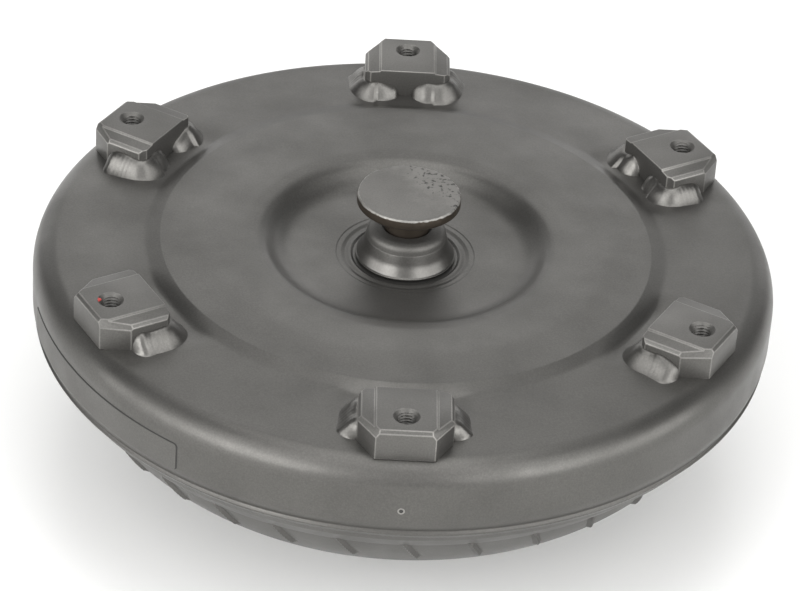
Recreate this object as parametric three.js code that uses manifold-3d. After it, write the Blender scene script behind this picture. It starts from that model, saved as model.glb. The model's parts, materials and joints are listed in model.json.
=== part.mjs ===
// Torque converter of the 270 mm class for a car's automatic transmission, with a lock-up clutch.
// Frame: origin at the centre of the impeller hub's open end, +Z along the spin axis towards the engine.
// Lengths are in millimetres and angles in degrees about +Z, counted from +X.
//
// Four assemblies turn on the one axis:
//   housing  front cover, pilot, drive lugs, impeller shell with its vanes, and the pump hub
//   turbine  shell, vanes, splined hub and the lock-up damper's driven plate
//   damper   two retainer plates with six coil springs, driven by the lock-up piston
//   stator   vane wheel on a one-way clutch, whose inner race is splined to a fixed shaft

import * as THREE from "three";
import { mergeVertices } from "three/addons/utils/BufferGeometryUtils.js";
import Module from "manifold-3d";

const wasm = await Module();
wasm.setup();

// ---- Driving dimensions ----

const LUG_PLANE_Z = 112; // the face that the engine's drive plate bolts to
const COVER_R = 138.5;
const SKIRT_END_Z = LUG_PLANE_Z - 40.4;
const SHELL_R = 132; // rim of the impeller shell, inside the cover's skirt
const SHELL_WALL = 3.3;
const HUB_R = 23;
const HUB_BORE_R = 20;
const HUB_NOTCH_W = 9;
const HUB_NOTCH_DEPTH = 11;

const LUG_COUNT = 6;
const LUG_FIRST_DEG = 30;
const LUG_BOLT_R = 122.5; // 245 mm bolt circle
const LUG_HOLE_R = 3.4; // M8 tapping hole
const LUG_SINK_R = 4.8;
const LUG_THICK = 10.2;
const LUG_HALF_W = 16.8;

const PILOT_R = 19.3;
const PILOT_TOP_Z = LUG_PLANE_Z + 12;

const IMPELLER_VANES = 31;
const TURBINE_VANES = 29;
const STATOR_VANES = 13;
const SPRING_COUNT = 6;
const SPRING_R = 68; // distance of the spring axes from the spin axis
const SPRING_HALF_LENGTH = 17;
const SPRING_OUTER_R = 5.5;
const SPRING_WIRE_R = 1.2;
const DAMPER_Z = 87;
const TWIST_DEG = 7; // travel of the damper, set by the stop pins in their slots
const STOP_PIN_COUNT = 3;
const ROLLER_COUNT = 6;
const RIVET_COUNT = 6;

const GAP = 0.3; // clearance between pieces that touch
const FINE = 40; // segments round the big outer rings
const COARSE = 24; // segments round the inner rings

// ---- Finishes ----

const metal = (color, roughness, metalness = 1) =>
  new THREE.MeshStandardMaterial({ color, roughness, metalness });
const STEEL = {
  housing: metal(0x6e6c68, 0.45),
  forged: metal(0x75736f, 0.4),
  weld: metal(0x8c8a86, 0.32),
  machined: metal(0x9a9a98, 0.25),
  pressed: metal(0x7d7e7c, 0.4),
  hardened: metal(0xa8a8a4, 0.2),
  spring: metal(0x4b4d50, 0.35),
};
const CAST_ALUMINIUM = metal(0xb4b5b3, 0.5);
const FRICTION_PAPER = metal(0x5a4636, 0.95, 0);
const SEAL_POLYMER = metal(0x2e2a26, 0.6, 0);
const LABEL_FILM = metal(0x74726e, 0.5, 0);

// ---- Shape helpers ----

const rad = THREE.MathUtils.degToRad;

// Points of an arc in the (radius, z) half plane, both ends included.
function arc(centreR, centreZ, r, fromDeg, toDeg, steps) {
  const points = [];
  for (let i = 0; i <= steps; i++) {
    const a = rad(fromDeg + ((toDeg - fromDeg) * i) / steps);
    points.push([centreR + r * Math.cos(a), centreZ + r * Math.sin(a)]);
  }
  return points;
}

// Solid of revolution about Z. The outline is a list of [radius, z]: it starts and ends on the axis, or it
// is closed here into a ring. The winding is turned so that the faces point out.
function turned(outline, segments) {
  const onAxis = outline[0][0] === 0 && outline.at(-1)[0] === 0;
  const closed = onAxis ? outline : [...outline, outline[0]];
  let area = 0;
  closed.forEach(([r, z], i) => {
    const [nextR, nextZ] = closed[(i + 1) % closed.length];
    area += r * nextZ - nextR * z;
  });
  const points = closed.map(([r, z]) => new THREE.Vector2(r, z));
  if (area < 0) points.reverse();
  return new THREE.LatheGeometry(points, segments).rotateX(Math.PI / 2);
}

// Plain ring of rectangular section.
function ring(innerR, outerR, lowZ, highZ, segments = COARSE) {
  const outline = [
    [innerR, lowZ],
    [outerR, lowZ],
    [outerR, highZ],
    [innerR, highZ],
  ];
  return turned(outline, segments);
}

// Flat outline [x, y] raised from lowZ to highZ.
function raised(outline, lowZ, highZ, holes = []) {
  const shape = new THREE.Shape(outline.map(([x, y]) => new THREE.Vector2(x, y)));
  shape.holes = holes.map((hole) => new THREE.Path(hole.map(([x, y]) => new THREE.Vector2(x, y))));
  const geometry = new THREE.ExtrudeGeometry(shape, { depth: highZ - lowZ, bevelEnabled: false });
  return geometry.translate(0, 0, lowZ);
}

// Outline [y, z] raised along X from lowX to highX.
function raisedAlongX(outline, lowX, highX) {
  const axes = [new THREE.Vector3(0, 1, 0), new THREE.Vector3(0, 0, 1), new THREE.Vector3(1, 0, 0)];
  return raised(outline, lowX, highX).applyMatrix4(new THREE.Matrix4().makeBasis(...axes));
}

// Plate cut to an outline of [radius, z], standing in a plane through the spin axis.
function radialPlate(outline, thickness) {
  return raised(outline, -thickness / 2, thickness / 2).rotateX(Math.PI / 2);
}

function circle(r, sides, centreX = 0, centreY = 0) {
  const points = [];
  for (let i = 0; i < sides; i++) {
    const a = (2 * Math.PI * i) / sides;
    points.push([centreX + r * Math.cos(a), centreY + r * Math.sin(a)]);
  }
  return points;
}

const cylinder = (r, lowZ, highZ, sides) => raised(circle(r, sides), lowZ, highZ);

// Outline turned about the spin axis.
function turnedBy(outline, degrees) {
  const c = Math.cos(rad(degrees));
  const s = Math.sin(rad(degrees));
  return outline.map(([x, y]) => [x * c - y * s, x * s + y * c]);
}

// Toothed outline of an internal spline.
function splineOutline(minorR, majorR, teeth) {
  const points = [];
  for (let i = 0; i < 2 * teeth; i++) {
    const a = (Math.PI * i) / teeth;
    const r = i % 2 ? majorR : minorR;
    points.push([r * Math.cos(a), r * Math.sin(a)]);
  }
  return points;
}

// ---- Joining and cutting ----

function toSolid(geometry) {
  const bare = geometry.clone();
  bare.deleteAttribute("normal");
  bare.deleteAttribute("uv");
  const merged = mergeVertices(bare, 1e-4);
  const mesh = new wasm.Mesh({
    numProp: 3,
    vertProperties: new Float32Array(merged.attributes.position.array),
    triVerts: new Uint32Array(merged.index.array),
  });
  return new wasm.Manifold(mesh);
}

function toGeometry(solid) {
  const mesh = solid.getMesh();
  const geometry = new THREE.BufferGeometry();
  geometry.setAttribute("position", new THREE.BufferAttribute(mesh.vertProperties, 3));
  geometry.setIndex(new THREE.BufferAttribute(mesh.triVerts, 1));
  const flat = geometry.toNonIndexed();
  flat.computeVertexNormals();
  return flat;
}

function cut(geometry, tools) {
  return toGeometry(tools.reduce((solid, tool) => solid.subtract(toSolid(tool)), toSolid(geometry)));
}

function join(geometries) {
  return toGeometry(geometries.map(toSolid).reduce((all, next) => all.add(next)));
}

const common = (a, b) => toGeometry(toSolid(a).intersect(toSolid(b)));

// Copies of a geometry made by a function of the angle, spread evenly round the axis.
function spread(count, firstDeg, make) {
  return Array.from({ length: count }, (unused, i) => make(firstDeg + (360 * i) / count, i));
}

const group = new THREE.Group();

function place(parent, name, geometry, material, turnDeg = 0) {
  const mesh = new THREE.Mesh(geometry, material);
  mesh.name = name;
  mesh.rotation.z = rad(turnDeg);
  parent.add(mesh);
  return mesh;
}

function assembly() {
  const part = new THREE.Group();
  group.add(part);
  return part;
}

// ---- Housing: front cover ----

const housing = assembly();
const RECESS_Z = LUG_PLANE_Z - 14.8;
const CROWN_Z = LUG_PLANE_Z - 7.8;
const SHOULDER_R = 10.5;
const SHOULDER_CENTRE_Z = 90;
const SKIRT_INNER_R = SHELL_R + 0.4;
const FRICTION_FACE_Z = 96.8;
const COVER_FLOOR_Z = RECESS_Z - 5; // inner face over the hub

const coverOutline = [
  [0, RECESS_Z],
  [45.5, RECESS_Z],
  [55, CROWN_Z - 1],
  [60, CROWN_Z],
  [75, CROWN_Z + 0.5],
  [90, CROWN_Z - 0.6],
  [95, CROWN_Z - 2],
  [104, CROWN_Z - 2.8],
  ...arc(COVER_R - SHOULDER_R, SHOULDER_CENTRE_Z, SHOULDER_R, 90, 0, 4),
  [COVER_R, SKIRT_END_Z + 4.2],
  [COVER_R - 0.6, SKIRT_END_Z],
  [SKIRT_INNER_R, SKIRT_END_Z],
  ...arc(SKIRT_INNER_R - 6, SHOULDER_CENTRE_Z, 6, 0, 80, 2),
  [121, FRICTION_FACE_Z],
  [92.5, FRICTION_FACE_Z],
  [89, 99],
  [57.5, 99],
  [47.5, COVER_FLOOR_Z],
  [0, COVER_FLOOR_Z],
];
place(housing, "front_cover", turned(coverOutline, FINE), STEEL.housing);

// ---- Housing: pilot that centres the converter in the crankshaft ----

const BOSS_TOP_Z = LUG_PLANE_Z - 2;
const bossOutline = [
  [0, RECESS_Z + GAP],
  [18.6, RECESS_Z + GAP],
  [18.4, RECESS_Z + 0.8],
  [16.2, RECESS_Z + 3.4],
  [15, RECESS_Z + 8.2],
  [15, BOSS_TOP_Z - 1.6],
  [13.4, BOSS_TOP_Z],
  [7.4, BOSS_TOP_Z],
  [7.4, BOSS_TOP_Z - 5],
  [0, BOSS_TOP_Z - 5],
];
place(housing, "pilot_boss", turned(bossOutline, COARSE), STEEL.forged);

const buttonOutline = [
  [0, BOSS_TOP_Z - 5 + GAP],
  [6.9, BOSS_TOP_Z - 5 + GAP],
  [6.9, BOSS_TOP_Z + 0.4],
  [8.6, BOSS_TOP_Z + 0.8],
  [8.6, PILOT_TOP_Z - 4.4],
  [PILOT_R - 0.6, PILOT_TOP_Z - 4.4],
  [PILOT_R, PILOT_TOP_Z - 3.8],
  [PILOT_R, PILOT_TOP_Z - 0.5],
  [PILOT_R - 0.5, PILOT_TOP_Z],
  [0, PILOT_TOP_Z],
];
place(housing, "pilot_button", turned(buttonOutline, COARSE), STEEL.forged);

// ---- Housing: drive lugs, each a forged pad with a tapped hole and a weld bead down each side ----
// A lug is made at angle 0: X is its distance from the spin axis and Y its width.

const LUG_INNER_X = 106;
const LUG_OUTER_X = 132;
const LUG_KNEE_X = LUG_BOLT_R;
const LUG_PAD_HALF_W = 10.5;
const LUG_BASE_Z = LUG_PLANE_Z - LUG_THICK;

function mirroredOutline(half) {
  return [...half, ...half.map(([x, y]) => [x, -y]).reverse()];
}

function lugBody() {
  const plan = mirroredOutline([
    [LUG_INNER_X, -13.5],
    [LUG_INNER_X + 2.5, -LUG_HALF_W],
    [LUG_KNEE_X, -LUG_HALF_W],
    [LUG_OUTER_X - 0.8, -LUG_PAD_HALF_W],
    [LUG_OUTER_X, -LUG_PAD_HALF_W + 1.2],
  ]);
  const frontView = [
    [-LUG_HALF_W, LUG_BASE_Z],
    [LUG_HALF_W, LUG_BASE_Z],
    [LUG_HALF_W, LUG_PLANE_Z - 4.3],
    [LUG_HALF_W - 1.3, LUG_PLANE_Z - 3],
    [LUG_PAD_HALF_W, LUG_PLANE_Z],
    [-LUG_PAD_HALF_W, LUG_PLANE_Z],
    [-LUG_HALF_W + 1.3, LUG_PLANE_Z - 3],
    [-LUG_HALF_W, LUG_PLANE_Z - 4.3],
  ];
  const bar = raisedAlongX(frontView, LUG_INNER_X - 1, LUG_OUTER_X + 1);
  const hole = cylinder(LUG_HOLE_R, LUG_BASE_Z - 1, LUG_PLANE_Z + 1, 8);
  const sink = turned(
    [
      [0, LUG_PLANE_Z - 1.5],
      [LUG_HOLE_R, LUG_PLANE_Z - 1.5],
      [LUG_SINK_R, LUG_PLANE_Z],
      [LUG_SINK_R, LUG_PLANE_Z + 1],
      [0, LUG_PLANE_Z + 1],
    ],
    8,
  );
  const tools = [hole, sink].map((tool) => tool.translate(LUG_BOLT_R, 0, 0));
  return cut(common(raised(plan, LUG_BASE_Z, LUG_PLANE_Z + 1), bar), tools);
}

// Bead that starts round the lug's inner corner and runs along its side as far as the knee.
function lugBead(side) {
  const beadZ = LUG_BASE_Z + 2.7;
  const route = new THREE.CatmullRomCurve3(
    [
      [LUG_INNER_X - 0.6, 7],
      [LUG_INNER_X, LUG_HALF_W - 3],
      [LUG_INNER_X + 3, LUG_HALF_W + 0.4],
      [LUG_KNEE_X - 1, LUG_HALF_W + 0.8],
    ].map(([x, y]) => new THREE.Vector3(x, side * y, beadZ)),
  );
  const section = new THREE.Shape(circle(2.5, 5).map(([x, y]) => new THREE.Vector2(x, y)));
  return new THREE.ExtrudeGeometry(section, { steps: 5, bevelEnabled: false, extrudePath: route });
}

const lugGeometry = join([lugBody(), lugBead(1), lugBead(-1)]);
spread(LUG_COUNT, LUG_FIRST_DEG, (angle, i) =>
  place(housing, `drive_lug_${i + 1}`, lugGeometry, STEEL.forged, angle),
);

// ---- Housing: blank data label, painted over, on the skirt ----

const LABEL_FROM_DEG = 194;
const LABEL_TO_DEG = 235;
const labelShape = new THREE.Shape();
labelShape.absarc(0, 0, COVER_R + GAP + 0.15, rad(LABEL_FROM_DEG), rad(LABEL_TO_DEG), false);
labelShape.absarc(0, 0, COVER_R + GAP, rad(LABEL_TO_DEG), rad(LABEL_FROM_DEG), true);
const LABEL_LOW_Z = LUG_PLANE_Z - 35;
const LABEL_HIGH_Z = LUG_PLANE_Z - 24;
const labelSheet = new THREE.ExtrudeGeometry(labelShape, {
  depth: LABEL_HIGH_Z - LABEL_LOW_Z,
  bevelEnabled: false,
  curveSegments: 8,
});
place(housing, "data_label", labelSheet.translate(0, 0, LABEL_LOW_Z), LABEL_FILM);

// ---- Housing: closure weld, impeller shell and pump hub ----

const WELD_TOP_Z = SKIRT_END_Z - GAP;
const weldOutline = [
  [SHELL_R + GAP, WELD_TOP_Z],
  [SHELL_R + 5, WELD_TOP_Z],
  [SHELL_R + 4.9, WELD_TOP_Z - 0.8],
  [SHELL_R + 1.1, WELD_TOP_Z - 5.8],
  [SHELL_R + GAP, WELD_TOP_Z - 6.1],
];
place(housing, "closure_weld", turned(weldOutline, FINE), STEEL.weld);

// The shell's section below its rim is a wide arc that runs on into a tighter one at the bottom.
const WIDE_ARC_R = 58.7;
const WIDE_CENTRE_R = 71.9;
const WIDE_CENTRE_Z = 82.7;
const TIGHT_ARC_R = 22;
const ARCS_MEET_DEG = -50;
const TIGHT_CENTRE_R = WIDE_CENTRE_R + (WIDE_ARC_R - TIGHT_ARC_R) * Math.cos(rad(ARCS_MEET_DEG));
const TIGHT_CENTRE_Z = WIDE_CENTRE_Z + (WIDE_ARC_R - TIGHT_ARC_R) * Math.sin(rad(ARCS_MEET_DEG));
const SHELL_TOP_Z = 82;
const SHELL_BORE_R = 42.8;

// The two arcs, from the rim's side down to the bottom, moved in by a distance from the outer face.
const shellArcs = (inset, wideSteps, tightSteps) => [
  ...arc(WIDE_CENTRE_R, WIDE_CENTRE_Z, WIDE_ARC_R - inset, -28, ARCS_MEET_DEG, wideSteps),
  ...arc(TIGHT_CENTRE_R, TIGHT_CENTRE_Z, TIGHT_ARC_R - inset, ARCS_MEET_DEG - 40 / tightSteps, -90, tightSteps - 1),
];
const shellOutline = [
  [SHELL_R, SHELL_TOP_Z],
  [SHELL_R, 67],
  [SHELL_R - 1.4, 65.2],
  ...shellArcs(0, 2, 3),
  [62, 41.8],
  [SHELL_BORE_R, 42.4],
  [SHELL_BORE_R, 46.4],
  [62, 45.6],
  ...shellArcs(SHELL_WALL, 2, 3).reverse(),
  [SHELL_R - SHELL_WALL, 67],
  [SHELL_R - SHELL_WALL, SHELL_TOP_Z],
];
place(housing, "impeller_shell", turned(shellOutline, FINE), STEEL.housing);

const HUB_FLANGE_R = SHELL_BORE_R - GAP;
const HUB_FLANGE_Z = 47;
const hubOutline = [
  [HUB_BORE_R + 0.8, 0],
  [HUB_R - 0.8, 0],
  [HUB_R, 0.8],
  [HUB_R, 36],
  [HUB_R + 4, 41],
  [HUB_FLANGE_R, 41.8],
  [HUB_FLANGE_R, HUB_FLANGE_Z],
  [HUB_BORE_R, HUB_FLANGE_Z],
  [HUB_BORE_R, 0.8],
];
const hubNotch = new THREE.BoxGeometry(2 * HUB_R + 4, HUB_NOTCH_W, 2 * HUB_NOTCH_DEPTH);
place(housing, "impeller_hub", cut(turned(hubOutline, COARSE), [hubNotch]), STEEL.machined);

const hubWeldOutline = [
  [HUB_FLANGE_R - 3, 41.3],
  [HUB_FLANGE_R + 3.5, 41.9],
  [HUB_FLANGE_R + 2, 39.8],
  [HUB_FLANGE_R - 1.6, 39.6],
];
place(housing, "hub_weld", turned(hubWeldOutline, COARSE), STEEL.weld);

// ---- Vanes and core rings ----

const CORE_R = 100.3;
const CORE_HALF_W = 16.3;
const VANE_THICK = 1;

// Half of the hollow core ring, as a crescent on one side of the plane at flatZ.
function coreRing(flatZ, depth, segments) {
  const outline = [
    [CORE_R - CORE_HALF_W, flatZ],
    [CORE_R, flatZ + depth],
    [CORE_R + CORE_HALF_W, flatZ],
    [CORE_R, flatZ + 0.75 * depth],
  ];
  return turned(outline, segments);
}

// Vane leant over along the direction of turning, by so much sideways per unit of height from levelZ.
function leantVane(outline, lean, levelZ) {
  const sideways = new THREE.Matrix4().set(1, 0, 0, 0, 0, 1, lean, -lean * levelZ, 0, 0, 1, 0, 0, 0, 0, 1);
  return radialPlate(outline, VANE_THICK).applyMatrix4(sideways);
}

function vaneWheel(count, vane, core) {
  return join([core, ...spread(count, 0, (angle) => vane.clone().rotateZ(rad(angle)))]);
}

const IMPELLER_CORE_Z = 68.4;
const impellerVane = [
  [126.6, IMPELLER_CORE_Z],
  ...shellArcs(SHELL_WALL + 1.2, 1, 2),
  [60, 47.4],
  [60, 55.5],
  [CORE_R, 58],
  [117, IMPELLER_CORE_Z],
];
const impellerWheel = vaneWheel(
  IMPELLER_VANES,
  leantVane(impellerVane, -0.45, 57),
  coreRing(IMPELLER_CORE_Z, -12, IMPELLER_VANES),
);
place(housing, "impeller_vanes", impellerWheel, STEEL.pressed);

// ---- Turbine ----

const turbine = assembly();
const TURBINE_CENTRE_R = 103.5;
const TURBINE_CENTRE_Z = 67;
const TURBINE_ARC_R = 23.6;
const TURBINE_WALL = 2;
const TURBINE_END_Z = 69.8;
const TURBINE_HUB_R = 28.7;
const TURBINE_SPIGOT_R = 36;
const TURBINE_HUB_LOW_Z = 72;
const TURBINE_HUB_HIGH_Z = 87.4;
const RIVET_R = 43;
const RIVET_SHANK_R = 3;

const rivetHoles = () =>
  spread(RIVET_COUNT, 0, (angle) =>
    cylinder(RIVET_SHANK_R + GAP, 60, 95, 8)
      .translate(RIVET_R, 0, 0)
      .rotateZ(rad(angle)),
  );

const turbineOutline = [
  [TURBINE_CENTRE_R + TURBINE_ARC_R - 0.2, TURBINE_END_Z],
  ...arc(TURBINE_CENTRE_R, TURBINE_CENTRE_Z, TURBINE_ARC_R, 20, 125, 4),
  [74, 78.6],
  [62, 75.2],
  [TURBINE_SPIGOT_R + GAP, 75.2],
  [TURBINE_SPIGOT_R + GAP, 75.2 - TURBINE_WALL],
  [62.4, 75.2 - TURBINE_WALL],
  [74.9, 76.7],
  ...arc(TURBINE_CENTRE_R, TURBINE_CENTRE_Z, TURBINE_ARC_R - TURBINE_WALL, 125, 20, 4),
  [TURBINE_CENTRE_R + TURBINE_ARC_R - TURBINE_WALL - 0.2, TURBINE_END_Z],
];
place(turbine, "turbine_shell", cut(turned(turbineOutline, TURBINE_VANES), rivetHoles()), STEEL.pressed);

const turbineVane = [
  [123.8, TURBINE_END_Z],
  ...arc(TURBINE_CENTRE_R, TURBINE_CENTRE_Z, TURBINE_ARC_R - TURBINE_WALL - 0.9, 45, 122, 2),
  [76, 75.6],
  [62.5, 72.4],
  [60, TURBINE_END_Z],
  [82, TURBINE_END_Z],
  [CORE_R, 77.5],
  [117, TURBINE_END_Z],
];
const turbineWheel = vaneWheel(
  TURBINE_VANES,
  leantVane(turbineVane, 0.45, 78),
  coreRing(TURBINE_END_Z, 8.5, TURBINE_VANES),
);
place(turbine, "turbine_vanes", turbineWheel, STEEL.pressed);

const SEAL_GROOVE_Z = 84;
const turbineHubOutline = [
  [10, TURBINE_HUB_LOW_Z],
  [TURBINE_SPIGOT_R, TURBINE_HUB_LOW_Z],
  [TURBINE_SPIGOT_R, 75.5],
  [52, 75.5],
  [52, 79],
  [TURBINE_HUB_R, 79],
  [TURBINE_HUB_R, SEAL_GROOVE_Z],
  [26.4, SEAL_GROOVE_Z],
  [26.4, SEAL_GROOVE_Z + 2],
  [TURBINE_HUB_R, SEAL_GROOVE_Z + 2],
  [TURBINE_HUB_R, TURBINE_HUB_HIGH_Z],
  [10, TURBINE_HUB_HIGH_Z],
];
const TURBINE_SPLINE = splineOutline(12.6, 14, 16);
const turbineHub = cut(turned(turbineHubOutline, COARSE), [
  raised(TURBINE_SPLINE, 60, 95),
  ...rivetHoles(),
]);
place(turbine, "turbine_hub", turbineHub, STEEL.machined);

const sealRing = ring(26.7, TURBINE_HUB_R + 0.2, SEAL_GROOVE_Z + GAP, SEAL_GROOVE_Z + 1.7, COARSE);
place(turbine, "piston_seal", sealRing, SEAL_POLYMER);

const rivetOutline = [
  [0, 71.8],
  [4.2, 72.9],
  [RIVET_SHANK_R, 72.9],
  [RIVET_SHANK_R, 82.7],
  [4.2, 82.7],
  [0, 83.8],
];
spread(RIVET_COUNT, 0, (angle, i) => {
  const rivet = place(turbine, `hub_rivet_${i + 1}`, turned(rivetOutline, 8), STEEL.forged);
  rivet.position.set(RIVET_R * Math.cos(rad(angle)), RIVET_R * Math.sin(rad(angle)), 0);
});

// ---- Lock-up damper ----

const damper = assembly();
const WINDOW_HALF_LENGTH = SPRING_HALF_LENGTH + GAP;
const WINDOW_HALF_WIDTH = SPRING_OUTER_R + 0.6;
const STOP_PIN_R = 3.5;
const STOP_PIN_ORBIT_R = 70;
const STOP_PIN_DEG = 26.5;
const DRIVEN_HALF_THICK = 1.5;
const PLATE_THICK = 2;

const springWindow = (angle) =>
  turnedBy(
    [
      [SPRING_R - WINDOW_HALF_WIDTH, -WINDOW_HALF_LENGTH],
      [SPRING_R + WINDOW_HALF_WIDTH, -WINDOW_HALF_LENGTH],
      [SPRING_R + WINDOW_HALF_WIDTH, WINDOW_HALF_LENGTH],
      [SPRING_R - WINDOW_HALF_WIDTH, WINDOW_HALF_LENGTH],
    ],
    angle,
  );

// Slot in the driven plate that a stop pin runs along, from just behind its rest place to the end of travel.
function stopSlot(angle) {
  const r = STOP_PIN_R + 0.5;
  const steps = 5;
  const points = [];
  const farEnd = turnedBy([[STOP_PIN_ORBIT_R, 0]], TWIST_DEG)[0];
  for (let i = 0; i <= steps; i++) {
    const a = Math.PI + (Math.PI * i) / steps;
    points.push([STOP_PIN_ORBIT_R + r * Math.cos(a), r * Math.sin(a)]);
  }
  for (let i = 0; i <= steps; i++) {
    const a = (Math.PI * i) / steps + rad(TWIST_DEG);
    points.push([farEnd[0] + r * Math.cos(a), farEnd[1] + r * Math.sin(a)]);
  }
  return turnedBy(points, angle);
}

const stopPinAngles = spread(STOP_PIN_COUNT, STOP_PIN_DEG, (angle) => angle);
const drivenLowZ = DAMPER_Z - DRIVEN_HALF_THICK;
const drivenHighZ = DAMPER_Z + DRIVEN_HALF_THICK;
const drivenOutline = [
  [TURBINE_HUB_R + 0.4, 79.3],
  [48, 79.3],
  [54.5, drivenLowZ],
  [79, drivenLowZ],
  [79, drivenHighZ],
  [53.5, drivenHighZ],
  [47.5, 82.3],
  [TURBINE_HUB_R + 0.4, 82.3],
];
const drivenPlate = cut(turned(drivenOutline, COARSE), [
  ...spread(SPRING_COUNT, 0, (angle) => raised(springWindow(angle), drivenLowZ - 1, drivenHighZ + 1)),
  ...stopPinAngles.map((angle) => raised(stopSlot(angle), drivenLowZ - 1, drivenHighZ + 1)),
  ...rivetHoles(),
]);
place(turbine, "damper_driven_plate", drivenPlate, STEEL.pressed);

const TAB_COUNT = 6;
const TAB_DEG = 30;
const TAB_HALF_W = 5;
const TAB_INNER_R = 86;
const FRONT_PLATE_R = 90;

// Rim of the front plate with a notch for each of the piston's drive tabs.
function notchedRim() {
  const notchHalfDeg = THREE.MathUtils.radToDeg((TAB_HALF_W + 0.4) / FRONT_PLATE_R);
  return spread(TAB_COUNT, TAB_DEG, (angle) => {
    const floorR = TAB_INNER_R - 0.5;
    const rimPoint = (r, degrees) => turnedBy([[r, 0]], degrees)[0];
    const between = [12, 24, 36, 48].map((step) => rimPoint(FRONT_PLATE_R, angle + step));
    return [
      rimPoint(FRONT_PLATE_R, angle - notchHalfDeg),
      rimPoint(floorR, angle - notchHalfDeg),
      rimPoint(floorR, angle + notchHalfDeg),
      rimPoint(FRONT_PLATE_R, angle + notchHalfDeg),
      ...between,
    ];
  }).flat();
}

const plateHoles = (innerR) => [
  circle(innerR, COARSE),
  ...spread(SPRING_COUNT, 0, springWindow),
  ...stopPinAngles.map((angle) => turnedBy(circle(STOP_PIN_R + GAP, 8, STOP_PIN_ORBIT_R), angle)),
];
const frontPlateZ = drivenHighZ + 0.5;
const rearPlateZ = drivenLowZ - 0.5 - PLATE_THICK;
const frontPlate = raised(notchedRim(), frontPlateZ, frontPlateZ + PLATE_THICK, plateHoles(57));
const rearPlate = raised(circle(79, COARSE), rearPlateZ, rearPlateZ + PLATE_THICK, plateHoles(57));
place(damper, "damper_front_plate", frontPlate, STEEL.pressed);
place(damper, "damper_rear_plate", rearPlate, STEEL.pressed);

stopPinAngles.forEach((angle, i) => {
  const pin = place(
    damper,
    `damper_stop_pin_${i + 1}`,
    cylinder(STOP_PIN_R, rearPlateZ + 0.2, frontPlateZ + PLATE_THICK + 0.6, 8),
    STEEL.forged,
  );
  pin.position.set(STOP_PIN_ORBIT_R * Math.cos(rad(angle)), STOP_PIN_ORBIT_R * Math.sin(rad(angle)), 0);
});

class CoilCurve extends THREE.Curve {
  constructor(coilR, halfLength, turns) {
    super();
    Object.assign(this, { coilR, halfLength, turns });
  }
  getPoint(t, target = new THREE.Vector3()) {
    const a = 2 * Math.PI * this.turns * t;
    const along = this.halfLength * (2 * t - 1);
    return target.set(this.coilR * Math.cos(a), along, this.coilR * Math.sin(a));
  }
}

const COIL_TURNS = 3.5;
const COIL_STEPS = 6 * COIL_TURNS;
const wireSection = new THREE.Shape(circle(SPRING_WIRE_R, 4).map(([x, y]) => new THREE.Vector2(x, y)));
const coil = new THREE.ExtrudeGeometry(wireSection, {
  steps: COIL_STEPS,
  bevelEnabled: false,
  extrudePath: new CoilCurve(SPRING_OUTER_R - SPRING_WIRE_R, SPRING_HALF_LENGTH - SPRING_WIRE_R, COIL_TURNS),
});
spread(SPRING_COUNT, 0, (angle, i) => {
  const spring = place(damper, `damper_spring_${i + 1}`, coil, STEEL.spring, angle);
  spring.position.set(SPRING_R * Math.cos(rad(angle)), SPRING_R * Math.sin(rad(angle)), DAMPER_Z);
});

// ---- Lock-up piston and its friction lining ----

const piston = assembly();
const pistonOutline = [
  [TURBINE_HUB_R + 0.5, 83],
  [32.2, 83],
  [32.2, 87.9],
  [49, 87.9],
  [56, 93.9],
  [90, 93.9],
  [93, 91.9],
  [121, 91.9],
  [121, 94.3],
  [94, 94.3],
  [91, 96.3],
  [57, 96.3],
  [50, 90.3],
  [TURBINE_HUB_R + 0.5, 90.3],
];
const driveTab = new THREE.BoxGeometry(2.4, 2 * TAB_HALF_W, 6).translate(TAB_INNER_R + 1.2, 0, 91.6);
const driveTabs = spread(TAB_COUNT, TAB_DEG, (angle) => driveTab.clone().rotateZ(rad(angle)));
place(piston, "lockup_piston", join([turned(pistonOutline, COARSE), ...driveTabs]), STEEL.pressed);
place(piston, "friction_lining", ring(97, 120, 94.6, 95.8, COARSE), FRICTION_PAPER);

// ---- Stator on its one-way clutch ----

const STATOR_LOW_Z = 52.1;
const STATOR_HIGH_Z = 67.2;
const RACE_R = 24.3;
const CAM_INNER_R = 25.8;
const CAM_OUTER_R = 41.2;
const ROLLER_R = 4.2;
const ROLLER_ORBIT_R = RACE_R + GAP + ROLLER_R;

const innerRaceRing = ring(13, RACE_R, STATOR_LOW_Z, STATOR_HIGH_Z, COARSE);
const innerRace = cut(innerRaceRing, [raised(splineOutline(15.6, 17.2, 16), 40, 80)]);
place(assembly(), "stator_inner_race", innerRace, STEEL.hardened);

const stator = assembly();
const bladeOutline = [
  [-7.2, 59],
  [-2.5, 61.2],
  [3.2, 65.2],
  [4.4, 67],
  [2.6, 67.4],
  [-3.6, 63.6],
];
const blade = raisedAlongX(bladeOutline, 48, 75);
const statorWheel = join([
  ring(CAM_OUTER_R + GAP, 50, STATOR_LOW_Z, STATOR_HIGH_Z),
  ring(73.5, 77, 58, 68),
  ...spread(STATOR_VANES, 0, (angle) => blade.clone().rotateZ(rad(angle))),
]);
place(stator, "stator_wheel", statorWheel, CAST_ALUMINIUM);

const sidePlate = (lowZ) => ring(RACE_R + GAP, CAM_OUTER_R, lowZ, lowZ + 1.8, COARSE);
place(stator, "clutch_rear_plate", sidePlate(STATOR_LOW_Z), STEEL.pressed);
place(stator, "clutch_front_plate", sidePlate(STATOR_HIGH_Z - 1.8), STEEL.pressed);

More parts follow.
